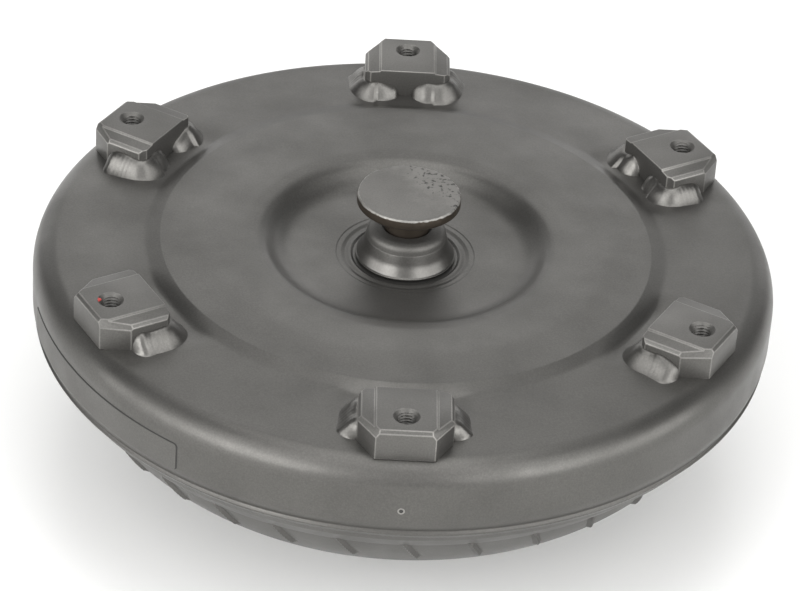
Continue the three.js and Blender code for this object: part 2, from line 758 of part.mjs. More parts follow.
const camLowZ = STATOR_LOW_Z + 1.8 + GAP;
const camHighZ = STATOR_HIGH_Z - 1.8 - GAP;
const rollerPockets = spread(ROLLER_COUNT, 0, (angle) =>
  cylinder(ROLLER_R + 0.6, camLowZ - 1, camHighZ + 1, 10)
    .translate(ROLLER_ORBIT_R + 0.2, 0, 0)
    .rotateZ(rad(angle)),
);
const camRing = cut(ring(CAM_INNER_R, CAM_OUTER_R, camLowZ, camHighZ, COARSE), rollerPockets);
place(stator, "clutch_outer_race", camRing, STEEL.hardened);

spread(ROLLER_COUNT, 0, (angle, i) => {
  const roller = cylinder(ROLLER_R, camLowZ + GAP, camHighZ - GAP, 8);
  const mesh = place(stator, `clutch_roller_${i + 1}`, roller, STEEL.hardened);
  mesh.position.set(ROLLER_ORBIT_R * Math.cos(rad(angle)), ROLLER_ORBIT_R * Math.sin(rad(angle)), 0);
});

// ---- Needle thrust bearings: two races with a cage between them ----

const BEARING_RACE = 0.9;
const BEARING_CAGE = 1.6;
const BEARING_HEIGHT = 4.2;

function thrustBearing(name, innerR, outerR, lowZ) {
  const highZ = lowZ + BEARING_HEIGHT;
  const midZ = lowZ + BEARING_HEIGHT / 2;
  const bearing = assembly();
  const segments = 16;
  const rear = ring(innerR, outerR, lowZ, lowZ + BEARING_RACE, segments);
  const cage = ring(innerR + 0.8, outerR - 0.8, midZ - BEARING_CAGE / 2, midZ + BEARING_CAGE / 2, segments);
  const front = ring(innerR, outerR, highZ - BEARING_RACE, highZ, segments);
  place(bearing, `${name}_rear_race`, rear, STEEL.hardened);
  place(bearing, `${name}_cage`, cage, STEEL.pressed);
  place(bearing, `${name}_front_race`, front, STEEL.hardened);
}

thrustBearing("cover_bearing", 18, 27.5, TURBINE_HUB_HIGH_Z + GAP);
thrustBearing("stator_bearing", 26, 35, STATOR_HIGH_Z + GAP);
thrustBearing("hub_bearing", 26, 35, HUB_FLANGE_Z + GAP);

export default group;
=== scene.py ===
"""Looks of the torque converter: smooth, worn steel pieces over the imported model, studio light and a camera.

Lengths are written in millimetres and turned into metres by MM. The spin axis is +Z, and the sizes that
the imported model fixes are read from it.
"""

import json
import math
import random

import bmesh
import bpy
import numpy as np
from mathutils import Matrix, Vector, noise


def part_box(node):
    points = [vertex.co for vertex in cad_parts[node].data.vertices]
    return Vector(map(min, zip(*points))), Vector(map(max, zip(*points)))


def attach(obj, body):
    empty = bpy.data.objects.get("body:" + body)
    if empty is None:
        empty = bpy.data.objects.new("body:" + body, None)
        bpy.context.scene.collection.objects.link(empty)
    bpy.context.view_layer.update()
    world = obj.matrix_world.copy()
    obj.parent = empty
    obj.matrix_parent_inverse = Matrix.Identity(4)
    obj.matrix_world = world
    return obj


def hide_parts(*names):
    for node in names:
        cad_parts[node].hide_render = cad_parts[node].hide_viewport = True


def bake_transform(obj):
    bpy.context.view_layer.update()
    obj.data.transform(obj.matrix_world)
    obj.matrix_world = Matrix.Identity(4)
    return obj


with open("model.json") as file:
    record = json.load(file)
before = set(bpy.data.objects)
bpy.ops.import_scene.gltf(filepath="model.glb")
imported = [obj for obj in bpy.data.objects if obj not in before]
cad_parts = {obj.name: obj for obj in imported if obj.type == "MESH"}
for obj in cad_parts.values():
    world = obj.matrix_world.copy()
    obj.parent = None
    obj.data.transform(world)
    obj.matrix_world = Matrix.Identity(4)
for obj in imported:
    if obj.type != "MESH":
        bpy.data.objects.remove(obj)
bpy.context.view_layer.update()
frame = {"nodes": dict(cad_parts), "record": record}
MM = 0.001
TAU = 2 * math.pi


def top(node):
    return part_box(node)[1].z / MM


def low(node):
    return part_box(node)[0].z / MM


def reach(node):
    """Radius of a round node about the spin axis."""
    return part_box(node)[1].x / MM


# ---- Sizes ----

LUG_Z = top("drive_lug_1")
LUG_BASE_Z = low("drive_lug_1")
LUG_ANGLES = [30 + 60 * i for i in range(6)]
BOLT_R = 122.5
COVER_R = reach("front_cover")
SKIRT_END_Z = low("front_cover")
RECESS_Z = LUG_Z - 14.8
SHELL_R = reach("impeller_shell")
SHELL_TOP_Z = top("impeller_shell")
WELD_R = reach("closure_weld")
PILOT_Z = top("pilot_button")
PILOT_R = reach("pilot_button")
HUB_R = 23
HUB_BORE_R = 20

# ---- Mesh building ----


def rounded(corners, steps=6):
    """Outline [(r, z)] from corners (r, z) or (r, z, fillet radius), each fillet drawn as an arc."""
    points = []
    count = len(corners)
    for i, corner in enumerate(corners):
        here = Vector(corner[:2])
        if len(corner) == 2 or i in (0, count - 1):
            points.append((here.x, here.y))
            continue
        before = Vector(corners[i - 1][:2]) - here
        after = Vector(corners[i + 1][:2]) - here
        half = before.angle(after) / 2
        back = corner[2] / math.tan(half)
        back = min(back, 0.49 * before.length, 0.49 * after.length)
        radius = back * math.tan(half)
        centre = here + (before.normalized() + after.normalized()).normalized() * (radius / math.sin(half))
        start = here + before.normalized() * back - centre
        end = here + after.normalized() * back - centre
        swing = start.angle_signed(end)
        for k in range(steps + 1):
            a = -swing * k / steps
            x = start.x * math.cos(a) - start.y * math.sin(a)
            y = start.x * math.sin(a) + start.y * math.cos(a)
            points.append((centre.x + x, centre.y + y))
    return points


def arc(r, z, radius, start, end, steps):
    angles = [math.radians(start + (end - start) * i / steps) for i in range(steps + 1)]
    return [(r + radius * math.cos(a), z + radius * math.sin(a)) for a in angles]


def dense(outline, step):
    """The outline with its long stretches divided, so that no edge is longer than step."""
    points = []
    for (r0, z0), (r1, z1) in zip(outline, outline[1:]):
        parts = max(1, math.ceil(math.hypot(r1 - r0, z1 - z0) / step))
        points += [(r0 + (r1 - r0) * k / parts, z0 + (z1 - z0) * k / parts) for k in range(parts)]
    return points + [outline[-1]]


def make_object(name, verts, faces, material, sharp=35):
    mesh = bpy.data.meshes.new(name)
    mesh.from_pydata(verts, [], faces)
    mesh.update()
    return finish_object(name, mesh, material, sharp)


def finish_object(name, mesh, material, sharp=35):
    mesh.shade_smooth()
    mesh.set_sharp_from_angle(angle=math.radians(sharp))
    mesh.materials.clear()
    mesh.materials.append(material)
    obj = bpy.data.objects.new(name, mesh)
    bpy.context.scene.collection.objects.link(obj)
    return obj


def revolve(name, outline, segments, material, move=None, sharp=35):
    """Turns an outline in millimetres about the spin axis. It starts and ends on the axis, or closes on
    itself. move changes the arrays (radius, z, angle) of the points before the mesh is made."""
    outline = [(r, z) for r, z in outline]
    on_axis = outline[0][0] == 0 and outline[-1][0] == 0
    loop = outline if on_axis else outline + outline[:1]
    area = sum(r0 * z1 - r1 * z0 for (r0, z0), (r1, z1) in zip(loop, loop[1:] + loop[:1]))
    if area < 0:
        outline.reverse()
    rows = outline[1:-1] if on_axis else outline
    angle = np.arange(segments) * TAU / segments
    radius = np.array([r for r, z in rows])[:, None] + 0 * angle
    height = np.array([z for r, z in rows])[:, None] + 0 * angle
    turn = angle + 0 * radius
    if move:
        radius, height = move(radius, height, turn)
    grid = np.stack([radius * np.cos(turn), radius * np.sin(turn), height], -1).reshape(-1, 3)
    count = len(rows)
    last = count - 1 if on_axis else count
    i, j = np.meshgrid(np.arange(last), np.arange(segments), indexing="ij")
    i2, j2 = (i + 1) % count, (j + 1) % segments
    quads = np.stack([i * segments + j, i * segments + j2, i2 * segments + j2, i2 * segments + j], -1)
    faces = quads.reshape(-1, 4).tolist()
    verts = (grid * MM).tolist()
    if on_axis:
        first, end = len(verts), len(verts) + 1
        verts += [(0, 0, outline[0][1] * MM), (0, 0, outline[-1][1] * MM)]
        base = (count - 1) * segments
        faces += [(first, (k + 1) % segments, k) for k in range(segments)]
        faces += [(end, base + k, base + (k + 1) % segments) for k in range(segments)]
    return make_object(name, verts, faces, material, sharp)


def cut(obj, tool):
    """Boolean difference, applied, with the tool thrown away."""
    change = obj.modifiers.new("cut", "BOOLEAN")
    change.object = tool
    change.operation = "DIFFERENCE"
    change.solver = "EXACT"
    apply_modifiers(obj)
    bpy.data.objects.remove(tool)


def apply_modifiers(obj):
    bpy.context.view_layer.update()
    graph = bpy.context.evaluated_depsgraph_get()
    mesh = bpy.data.meshes.new_from_object(obj.evaluated_get(graph))
    old = obj.data
    obj.modifiers.clear()
    obj.data = mesh
    bpy.data.meshes.remove(old)


def smooth_step(x, low_x, high_x):
    t = np.clip((x - low_x) / (high_x - low_x), 0, 1)
    return t * t * (3 - 2 * t)


# ---- Materials ----


def mat_nodes(name):
    material = bpy.data.materials.new(name)
    material.use_nodes = True
    tree = material.node_tree
    shader = tree.nodes["Principled BSDF"]
    coords = tree.nodes.new("ShaderNodeTexCoord")
    return material, tree, shader, coords.outputs["Object"]


def add_noise(tree, vector, scale, detail=3.0, rough=0.55):
    tex = tree.nodes.new("ShaderNodeTexNoise")
    tex.inputs["Scale"].default_value = scale
    tex.inputs["Detail"].default_value = detail
    tex.inputs["Roughness"].default_value = rough
    tree.links.new(vector, tex.inputs["Vector"])
    return tex.outputs["Fac"]


def add_ramp(tree, value, stops):
    ramp = tree.nodes.new("ShaderNodeValToRGB")
    elements = ramp.color_ramp.elements
    while len(elements) < len(stops):
        elements.new(0.5)
    for element, (place, colour) in zip(elements, stops):
        element.position = place
        element.color = (*colour, 1)
    tree.links.new(value, ramp.inputs["Fac"])
    return ramp.outputs["Color"]


def add_math(tree, operation, a, b):
    step = tree.nodes.new("ShaderNodeMath")
    step.operation = operation
    for socket, value in zip(step.inputs, (a, b)):
        if isinstance(value, (int, float)):
            socket.default_value = value
        else:
            tree.links.new(value, socket)
    return step.outputs[0]


def add_mix(tree, factor, a, b, blend="MIX"):
    mix = tree.nodes.new("ShaderNodeMix")
    mix.data_type = "RGBA"
    mix.blend_type = blend
    if isinstance(factor, float):
        mix.inputs["Factor"].default_value = factor
    else:
        tree.links.new(factor, mix.inputs["Factor"])
    for socket, value in ((mix.inputs["A"], a), (mix.inputs["B"], b)):
        if isinstance(value, tuple):
            socket.default_value = (*value, 1)
        else:
            tree.links.new(value, socket)
    return mix.outputs["Result"]


def add_bump(tree, height, strength, depth_mm, under=None):
    bump = tree.nodes.new("ShaderNodeBump")
    bump.inputs["Strength"].default_value = strength
    bump.inputs["Distance"].default_value = depth_mm * MM
    tree.links.new(height, bump.inputs["Height"])
    if under is not None:
        tree.links.new(under, bump.inputs["Normal"])
    return bump.outputs["Normal"]


def scaled(colour, factor):
    return tuple(c * factor for c in colour)


def turned_vector(tree, vector):
    """Coordinates (distance from the axis, height), for marks that run round the axis."""
    parts = tree.nodes.new("ShaderNodeSeparateXYZ")
    tree.links.new(vector, parts.inputs[0])
    square = add_math(tree, "ADD", add_math(tree, "POWER", parts.outputs[0], 2.0),
                      add_math(tree, "POWER", parts.outputs[1], 2.0))
    joined = tree.nodes.new("ShaderNodeCombineXYZ")
    tree.links.new(add_math(tree, "SQRT", square, 0.0), joined.inputs[0])
    tree.links.new(parts.outputs[2], joined.inputs[1])
    return joined.outputs[0]


def steel(name, colour, rough, metallic=0.8, blotch=0.12, grain=0.35, pits=0.0, turning=0.0,
          satin_above=None, worn_disc=False):
    """Worn steel: cloudy tone, fine grain in the bump, and optional lathe marks. satin_above is a height in
    millimetres above which the surface is dull. worn_disc is the battered face and rim of the pilot, and
    pits is how strong its pits are."""
    material, tree, shader, vector = mat_nodes(name)
    shader.inputs["Metallic"].default_value = metallic
    cloud = add_noise(tree, vector, 38, 4)
    fine = add_noise(tree, vector, 1500, 2, 0.7)
    tone = add_ramp(tree, cloud, [(0.3, scaled(colour, 1 - blotch)), (0.7, scaled(colour, 1 + blotch))])
    speck = add_ramp(tree, fine, [(0.35, (0.9, 0.9, 0.9)), (0.7, (1.1, 1.1, 1.1))])
    tone = add_mix(tree, 1.0, tone, speck, "MULTIPLY")
    height = add_bump(tree, fine, grain, 0.05)
    lows, highs = rough - 0.06, rough + 0.08
    gloss = add_ramp(tree, cloud, [(0.3, (highs,) * 3), (0.7, (lows,) * 3)])
    if satin_above:
        parts = tree.nodes.new("ShaderNodeSeparateXYZ")
        tree.links.new(vector, parts.inputs[0])
        over = add_math(tree, "GREATER_THAN", parts.outputs[2], satin_above * MM)
        gloss = add_mix(tree, over, gloss, (0.52, 0.52, 0.52))
    if worn_disc:
        parts = tree.nodes.new("ShaderNodeSeparateXYZ")
        tree.links.new(vector, parts.inputs[0])
        # The right and far half of the face is scraped bright, and the pits lie in it.
        side = add_math(tree, "ADD", add_math(tree, "MULTIPLY", parts.outputs[0], 26.0),
                        add_math(tree, "MULTIPLY", parts.outputs[1], 16.0))
        side = add_math(tree, "ADD", side, add_noise(tree, vector, 120, 4, 0.65))
        worn = add_ramp(tree, side, [(0.5, (0, 0, 0)), (0.85, (1, 1, 1))])
        tone = add_mix(tree, worn, tone, scaled(colour, 1.35))
        deeper = add_math(tree, "MULTIPLY", worn, 0.16)
        dents = add_math(tree, "SUBTRACT", add_noise(tree, vector, 620, 3, 0.6), deeper)
        mask = add_ramp(tree, dents, [(0.19, (0, 0, 0)), (0.31, (1, 1, 1))])
        # The rim's wall is brown and the edge above it is bare.
        level = add_math(tree, "SUBTRACT", parts.outputs[2], (PILOT_Z - 1.3) * MM)
        level = add_math(tree, "MULTIPLY", level, 500.0)
        nicks = add_math(tree, "MULTIPLY", add_noise(tree, vector, 500, 3), 0.6)
        wall = add_ramp(tree, add_math(tree, "ADD", level, nicks), [(0.55, (1, 1, 1)), (0.7, (0, 0, 0))])
        radial = tree.nodes.new("ShaderNodeSeparateXYZ")
        tree.links.new(turned_vector(tree, vector), radial.inputs[0])
        outer = add_math(tree, "SUBTRACT", radial.outputs[0], (PILOT_R - 1) * MM)
        outer = add_math(tree, "MULTIPLY", outer, 800.0)
        edge = add_ramp(tree, add_math(tree, "ADD", outer, nicks), [(0.5, (0, 0, 0)), (0.62, (1, 1, 1))])
        tone = add_mix(tree, edge, tone, scaled(colour, 1.9))
        tone = add_mix(tree, wall, tone, (colour[0] * 0.5, colour[1] * 0.42, colour[2] * 0.35))
        tone = add_mix(tree, mask, scaled(colour, 0.35), tone)
        height = add_bump(tree, mask, pits, 0.12, height)
    if turning:
        marks = add_noise(tree, turned_vector(tree, vector), 1400, 2, 0.6)
        height = add_bump(tree, marks, turning, 0.06, height)
    tree.links.new(tone, shader.inputs["Base Color"])
    tree.links.new(gloss, shader.inputs["Roughness"])
    tree.links.new(height, shader.inputs["Normal"])
    return material


HOUSING_TONE = (0.105, 0.102, 0.096)
housing_steel = steel("housing steel", HOUSING_TONE, 0.40, 0.78, 0.06, 0.5)
lug_steel = steel("forged lug steel", scaled(HOUSING_TONE, 1.1), 0.42, 0.7, 0.07, 0.5)
weld_metal = steel("weld metal", scaled(HOUSING_TONE, 1.3), 0.36, 0.9, 0.25, 0.7)
# Lighter steel that paints a highlight on the lugs' bevelled edges and on the punch mark's rim.
painted_highlight_steel = steel("painted highlight steel", scaled(HOUSING_TONE, 1.9), 0.45, 0.6, 0.3, 0.6)
boss_steel = steel("turned boss steel", scaled(HOUSING_TONE, 1.25), 0.33, 0.85, 0.08, 0.3, turning=0.2,
                   satin_above=LUG_Z - 6.5)
button_steel = steel("worn pilot steel", scaled(HOUSING_TONE, 1.3), 0.46, 0.8, 0.08, 0.5, pits=0.6,
                     worn_disc=True)
hub_steel = steel("ground hub steel", (0.45, 0.445, 0.43), 0.24, 1.0, 0.06, 0.2, turning=0.3)
pressed_steel = steel("pressed steel", (0.32, 0.32, 0.31), 0.38, 0.9, 0.1, 0.3)
hardened_steel = steel("hardened steel", (0.5, 0.5, 0.49), 0.22, 1.0, 0.05, 0.15, turning=0.15)
rivet_steel = steel("headed steel", (0.26, 0.26, 0.25), 0.4, 0.9, 0.12, 0.4)
spring_steel = steel("spring wire", (0.09, 0.09, 0.095), 0.3, 0.85, 0.15, 0.3)
cast_aluminium = steel("cast aluminium", (0.5, 0.5, 0.49), 0.48, 0.9, 0.08, 0.8)
label_film = steel("painted label film", scaled(HOUSING_TONE, 1.02), 0.5, 0.6, 0.04, 0.25)


def dull(name, colour, rough, scale, strength, depth_mm):
    """Matt paper, polymer or paint with a fibrous or lumpy grain."""
    material, tree, shader, vector = mat_nodes(name)
    shader.inputs["Metallic"].default_value = 0.0
    fibres = add_noise(tree, vector, scale, 4, 0.7)
    tone = add_ramp(tree, fibres, [(0.3, scaled(colour, 0.7)), (0.7, scaled(colour, 1.3))])
    gloss = add_ramp(tree, fibres, [(0.3, (rough - 0.08,) * 3), (0.7, (rough + 0.08,) * 3)])
    tree.links.new(tone, shader.inputs["Base Color"])
    tree.links.new(gloss, shader.inputs["Roughness"])
    tree.links.new(add_bump(tree, fibres, strength, depth_mm), shader.inputs["Normal"])
    return material


friction_paper = dull("friction paper", (0.11, 0.065, 0.035), 0.85, 900, 0.6, 0.08)
seal_polymer = dull("seal polymer", (0.03, 0.026, 0.022), 0.5, 500, 0.2, 0.03)
red_paint = dull("red paint", (0.32, 0.028, 0.022), 0.45, 700, 0.3, 0.04)
# Near-black matt paint that paints shade: the pit of the punch mark and the gap round the label's edge.
painted_shade_paint = dull("painted shade", (0.02, 0.019, 0.018), 0.7, 600, 0.3, 0.03)

# ---- Front cover ----

PAD_Z = LUG_BASE_Z - 0.75
SHOULDER_R = 10
# Turned rings round the foot of the pilot, as (r, z, fillet radius).
floor_rings = [
    (19.2, RECESS_Z - 0.9), (19.6, RECESS_Z - 0.9, 0.3), (20.5, RECESS_Z - 0.4, 0.6),
    (21.3, RECESS_Z - 0.45, 0.6), (22.5, RECESS_Z - 0.75, 1.2), (24.0, RECESS_Z - 0.2, 1.2),
    (25.6, RECESS_Z - 0.2, 0.3), (26.1, RECESS_Z, 0.3),
]
cover_outside = rounded(
    [(0, RECESS_Z - 0.9), *floor_rings, (46.5, RECESS_Z, 12), (53.5, LUG_Z - 8.2, 8),
     (60, LUG_Z - 7.3, 20), (75, LUG_Z - 7.1, 60),
     (91.6, LUG_Z - 8.15, 3), (97.2, LUG_Z - 9.55, 12), (112, LUG_Z - 10.5, 30),
     (COVER_R - SHOULDER_R + 2, LUG_Z - 11.7, 14)], 5)[:-1]
cover_outside += arc(COVER_R - SHOULDER_R, LUG_Z - 11.7 - SHOULDER_R, SHOULDER_R, 88, 0, 16)
cover_outside += rounded(
    [(COVER_R, LUG_Z - 25), (COVER_R, SKIRT_END_Z + 4.8, 8), (COVER_R - 1.5, SKIRT_END_Z + 1.5, 0.6),
     (COVER_R - 0.7, SKIRT_END_Z + 0.75, 0.25), (COVER_R - 0.8, SKIRT_END_Z + 0.15, 0.3),
     (COVER_R - 1.6, SKIRT_END_Z, 0.2), (SHELL_R + 0.6, SKIRT_END_Z)], 5)
cover_inside = rounded(
    [(SHELL_R + 0.5, SKIRT_END_Z), (SHELL_R + 0.5, 94.5, 6), (121, 96.8, 2), (92.5, 96.8, 2), (89, 99, 3),
     (57.5, 99, 6), (47.5, 92.2, 6), (0, 92.2)], 5)


def coin_pads(radius, height, angle):
    """Presses the flat seat of each lug into the cover's outer face, with a steep wall on its inner side."""
    for degrees in LUG_ANGLES:
        off = angle - math.radians(degrees)
        x = radius * np.cos(off)
        y = radius * np.sin(off)
        along = smooth_step(x, 92.5, 98.5) * (1 - smooth_step(x, 124, 130.5))
        across = 1 - smooth_step(np.abs(y), 15, 27)
        outer_face = height > 98.2
        weight = along * across * outer_face
        height = np.where(outer_face, np.minimum(height, height * (1 - weight) + PAD_Z * weight), height)
    return radius, height


def skirt_wave(radius, height, angle):
    """The faint waviness of pressed sheet."""
    outside = radius > COVER_R - 12
    wave = 0.04 * np.sin(3 * angle + 1) + 0.03 * np.sin(7 * angle + height / 9)
    return radius + np.where(outside, wave - 0.07, 0), height


def shape_cover(radius, height, angle):
    return skirt_wave(*coin_pads(radius, height, angle), angle)


cover = revolve("front_cover_shell", dense(cover_outside, 2.4) + cover_inside, 456, housing_steel,
                shape_cover, 30)
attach(cover, "housing")
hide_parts("front_cover")


def punch_mark(name, rings, material):
    """Part of the punch mark on the front of the skirt, laid on its surface: rings of points from the outside
    in, each (size, distance from the spin axis)."""
    angle, z, around = math.radians(269.9), LUG_Z - 29.2, 24
    verts = []
    for size, r in rings:
        for k in range(around):
            a = angle + size * math.cos(TAU * k / around) / r
            up = z + size * math.sin(TAU * k / around)
            verts.append((r * math.cos(a) * MM, r * math.sin(a) * MM, up * MM))
    faces = [(i * around + k, i * around + (k + 1) % around, (i + 1) * around + (k + 1) % around,
              (i + 1) * around + k) for i in range(len(rings) - 1) for k in range(around)]
    faces.append(tuple(reversed(range(around))))
    faces.append(tuple(range((len(rings) - 1) * around, len(rings) * around)))
    mark = make_object(name, verts, faces, material, 60)
    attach(mark, "housing")


# The punch mark has no dent: its pit is a dark disc of painted shade, and its raised rim carries a painted
# highlight.
rim_rings = [(1.6, COVER_R - 0.3), (1.3, COVER_R - 0.05), (1.05, COVER_R - 0.02), (0.8, COVER_R - 0.06)]
pit_shade_rings = [(0.75, COVER_R - 0.3), (0.75, COVER_R - 0.05), (0.6, COVER_R - 0.045)]
punch_mark("punch_mark_rim_highlight", rim_rings, painted_highlight_steel)
punch_mark("punch_mark_pit_shade", pit_shade_rings, painted_shade_paint)

# ---- Pilot ----

BOSS_Z = LUG_Z - 2
EDGE_Z = LUG_Z - 6.6
boss_outline = rounded(
    [(0, RECESS_Z + 0.2), (18.7, RECESS_Z + 0.2), (18.7, RECESS_Z + 0.6, 0.15), (18.2, RECESS_Z + 0.9, 0.6),
     (16.3, RECESS_Z + 4.2, 9), (15.1, EDGE_Z, 0.12), (15.0, EDGE_Z + 0.25, 0.1), (14.5, EDGE_Z + 2.9, 3),
     (12.2, BOSS_Z - 0.35, 3), (9.4, BOSS_Z, 0.3), (9.0, BOSS_Z - 0.7, 0.2), (8.9, BOSS_Z - 0.9),
     (0, BOSS_Z - 0.9)], 6)
boss = revolve("pilot_boss_turned", dense(boss_outline, 1.2), 180, boss_steel, None, 40)
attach(boss, "housing")
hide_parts("pilot_boss")

button_outline = rounded(
    [(0, BOSS_Z - 0.9), (8.6, BOSS_Z - 0.9), (8.6, PILOT_Z - 5.2, 0.8), (9.6, PILOT_Z - 4.4, 0.4),
     (PILOT_R - 0.7, PILOT_Z - 4.3, 0.5), (PILOT_R, PILOT_Z - 3.6, 0.4), (PILOT_R, PILOT_Z - 0.6, 0.4),
     (PILOT_R - 0.5, PILOT_Z, 0.3), (PILOT_R - 2, PILOT_Z), (0, PILOT_Z)], 5)


def batter_rim(radius, height, angle):
    """Wears the pilot's rim unevenly."""
    rim = (radius > PILOT_R - 1.2) & (height > PILOT_Z - 1)
    wear = np.vectorize(lambda a: noise.noise(Vector((math.cos(a) * 3, math.sin(a) * 3, 0.5))))(angle[0])
    fine = np.vectorize(lambda a: noise.noise(Vector((math.cos(a) * 14, math.sin(a) * 14, 2.5))))(angle[0])
    loss = np.clip(0.12 + 0.25 * wear + 0.18 * fine, 0, 0.5)
    return radius - np.where(rim, loss, 0), height - np.where(rim, 0.3 * loss, 0)


button = revolve("pilot_button_turned", dense(button_outline, 1.2), 240, button_steel, batter_rim, 40)
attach(button, "housing")
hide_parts("pilot_button")

# ---- Drive lugs ----
# Each lug is made at angle 0, with X away from the spin axis, and then turned to its place.

LUG_IN_X = 106
LUG_OUT_X = 132
LUG_HALF_W = 16.8
PAD_HALF_W = 10.6
SEAT_Z = LUG_BASE_Z - 1.9
THREAD_PITCH = 1.25
THREAD_MAJOR_R = 4.0
THREAD_MINOR_R = 3.35
SINK_R = 4.8


def threaded_cutter():
    """The space of an M8 tapped hole with its countersink: a closed surface r(angle, z)."""
    turns, rows_per_pitch, around = 10, 8, 48
    rows = turns * rows_per_pitch
    z_top = LUG_Z + 1
    verts = []
    for i in range(rows + 1):
        z = z_top - i * THREAD_PITCH / rows_per_pitch
        for j in range(around):
            phase = ((z_top - z) / THREAD_PITCH - j / around) % 1
            groove = max(0, 1 - abs(phase - 0.5) * 2.3)
            r = THREAD_MINOR_R + (THREAD_MAJOR_R - THREAD_MINOR_R) * groove
            r = max(r, SINK_R - max(0, LUG_Z - z) * 1.0)
            a = TAU * j / around
            verts.append((r * math.cos(a), r * math.sin(a), z))
    faces = []
    for i in range(rows):
        for j in range(around):
            j2 = (j + 1) % around
            a, b = i * around + j, i * around + j2
            faces.append((a, b, b + around, a + around))
    faces = [tuple(reversed(f)) for f in faces]
    faces.append(tuple(range(around)))
    faces.append(tuple(reversed(range(rows * around, (rows + 1) * around))))
    verts = [((x + BOLT_R) * MM, y * MM, z * MM) for x, y, z in verts]
    return make_object("cutter", verts, faces, lug_steel)


def lug_mesh():
    """Forged pad: raised centre, sloping wings, cut outer corners and chamfered edges."""
    half = [(PAD_HALF_W, LUG_Z), (PAD_HALF_W + 0.5, LUG_Z - 0.6), (LUG_HALF_W - 1.1, LUG_Z - 1.05),
            (LUG_HALF_W, LUG_Z - 2.3), (LUG_HALF_W, SEAT_Z)]
    section = [(-y, z) for y, z in half] + half[::-1]
    bm = bmesh.new()
    rings = [[bm.verts.new((x * MM, y * MM, z * MM)) for y, z in section] for x in (LUG_IN_X, LUG_OUT_X)]
    bm.faces.new(list(reversed(rings[0])))
    bm.faces.new(rings[1])
    for k in range(len(section)):
        k2 = (k + 1) % len(section)
        bm.faces.new((rings[0][k], rings[0][k2], rings[1][k2], rings[1][k]))
    bmesh.ops.recalc_face_normals(bm, faces=bm.faces)
    corner = Vector((LUG_OUT_X - 0.7 - BOLT_R, -(LUG_HALF_W - PAD_HALF_W - 0.4)))
    corner_normal = Vector((-corner.y, corner.x)).normalized()
    bevel_in = (corner_normal.x, corner_normal.y, 0.62)
    cuts = [((LUG_OUT_X, 0, LUG_Z - 1.2), (1, 0, 1))]
    for side in (1, -1):
        knee = (BOLT_R, side * LUG_HALF_W, 0)
        cuts.append((knee, (corner_normal.x, side * corner_normal.y, 0)))
        knee_top = (BOLT_R, side * LUG_HALF_W, LUG_Z - 2.9)
        cuts.append((knee_top, (bevel_in[0], side * bevel_in[1], bevel_in[2])))
        cuts.append(((LUG_IN_X, side * (LUG_HALF_W - 2.2), 0), (-1, side, 0)))
    for point, normal in cuts:
        place = Vector(point) * MM
        geometry = bm.verts[:] + bm.edges[:] + bm.faces[:]
        result = bmesh.ops.bisect_plane(
            bm, geom=geometry, dist=1e-7, plane_co=place, plane_no=Vector(normal), clear_outer=True)
        edges = [e for e in result["geom_cut"] if isinstance(e, bmesh.types.BMEdge)]
        bmesh.ops.contextual_create(bm, geom=edges)
    bmesh.ops.remove_doubles(bm, verts=bm.verts, dist=1e-6)
    bmesh.ops.recalc_face_normals(bm, faces=bm.faces)
    mesh = bpy.data.meshes.new("drive_lug")
    bm.to_mesh(mesh)
    bm.free()
    lug = finish_object("drive_lug", mesh, lug_steel, 30)
    mesh.materials.append(painted_highlight_steel)
    bevel = lug.modifiers.new("edges", "BEVEL")
    bevel.width = 0.3 * MM
    bevel.segments = 3
    bevel.limit_method = "ANGLE"
    bevel.angle_limit = math.radians(20)
    # The bevel faces take the lighter steel: a painted highlight along the lug's edges.
    bevel.material = 1
    apply_modifiers(lug)
    cut(lug, threaded_cutter())
    lug.data.set_sharp_from_angle(angle=math.radians(32))
    return lug


